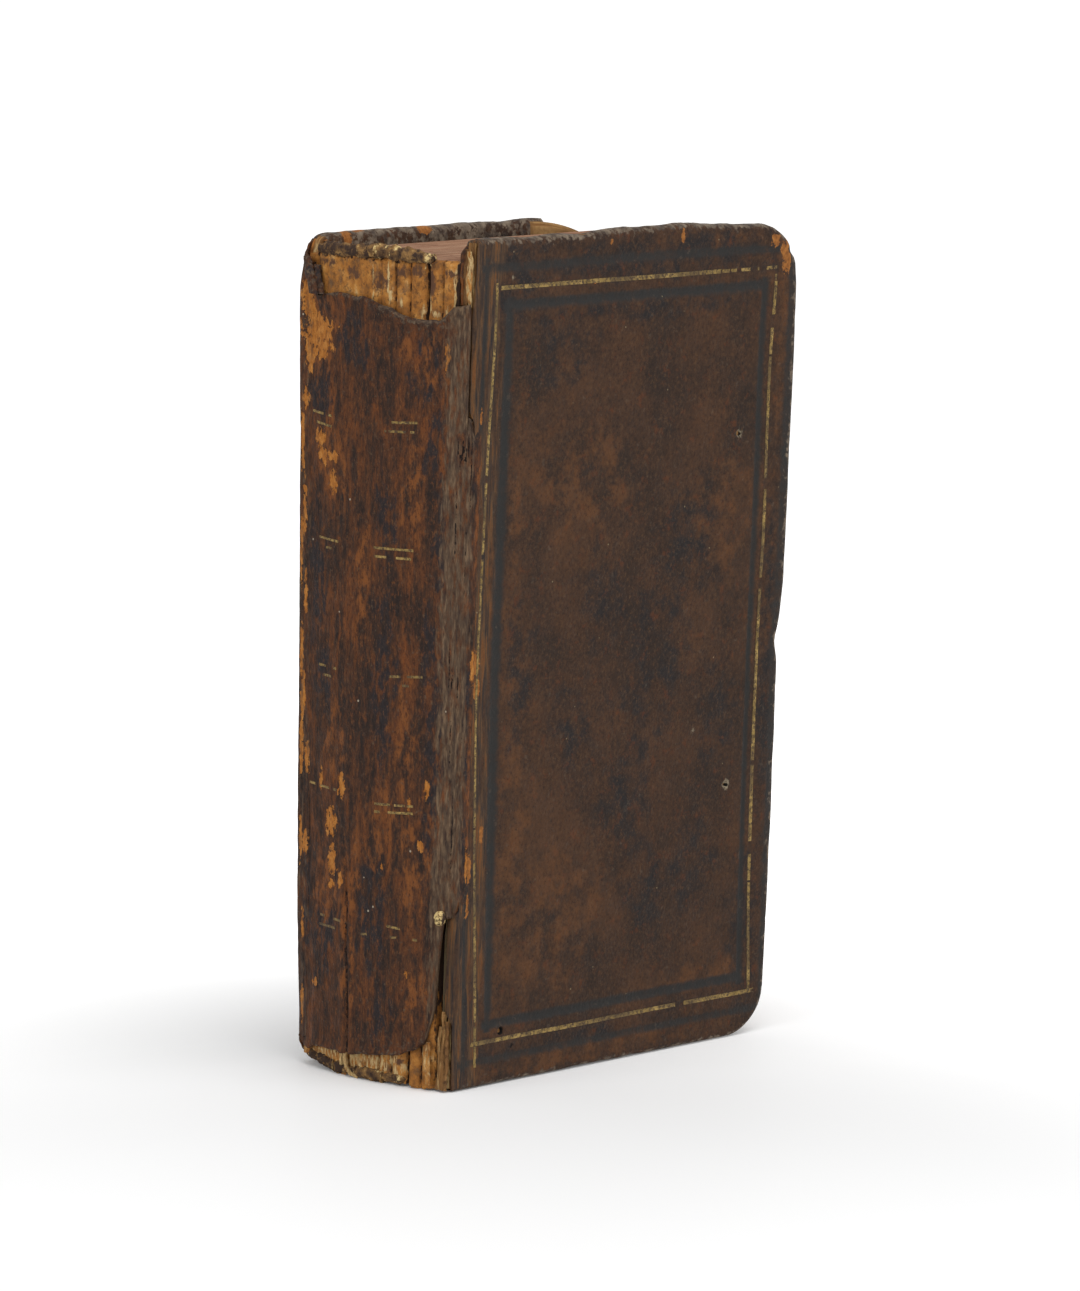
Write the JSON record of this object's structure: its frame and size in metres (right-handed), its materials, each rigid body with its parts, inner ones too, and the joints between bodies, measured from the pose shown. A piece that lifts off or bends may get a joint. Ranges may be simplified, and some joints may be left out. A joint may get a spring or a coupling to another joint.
{
  "type": "antique leather book",
  "caption": "Small thick antique book in worn brown calf with a gold line frame, a torn spine and two covers that open.",
  "frame": {"origin": "under the middle of the closed book, on the surface it stands on", "axes": "+Z from tail to head, +X from the spine to the fore edge, front cover at -Y"},
  "size_m": [0.0908, 0.038, 0.148],
  "materials": {
    "cover_calf": "worn satin, mottled",
    "spine_calf": "worn satin, streaked",
    "pasteboard": "matt, layered",
    "pages": "matt, toned folds and edges",
    "endpaper": "matt, toned",
    "cord": "twisted hemp",
    "gilt": "worn gold leaf"
  },
  "bodies": {
    "book_block": {"text_block": "pages", "sewing_cord_1": "cord", "sewing_cord_2": "cord", "sewing_cord_3": "cord", "sewing_cord_4": "cord", "sewing_cord_5": "cord", "head_endband": "cord", "tail_endband": "cord", "spine_leather": "spine_calf", "spine_gilt_rules": "gilt"},
    "front_cover": {"front_board": "pasteboard", "front_leather": "cover_calf", "front_gilt_frame": "gilt", "front_pastedown": "endpaper", "front_cord_slips": "cord"},
    "back_cover": {"back_board": "pasteboard", "back_leather": "cover_calf", "back_gilt_frame": "gilt", "back_pastedown": "endpaper", "back_cord_slips": "cord"}
  },
  "joints": [
    {"name": "front_joint", "type": "hinge", "parent": "book_block", "child": "front_cover", "pos_m": [-0.0416, -0.019, 0.074], "axis": [0, 0, -1], "range_deg": [0, 180]},
    {"name": "back_joint", "type": "hinge", "parent": "book_block", "child": "back_cover", "pos_m": [-0.0416, 0.019, 0.074], "axis": [0, 0, 1], "range_deg": [0, 180]}
  ]
}
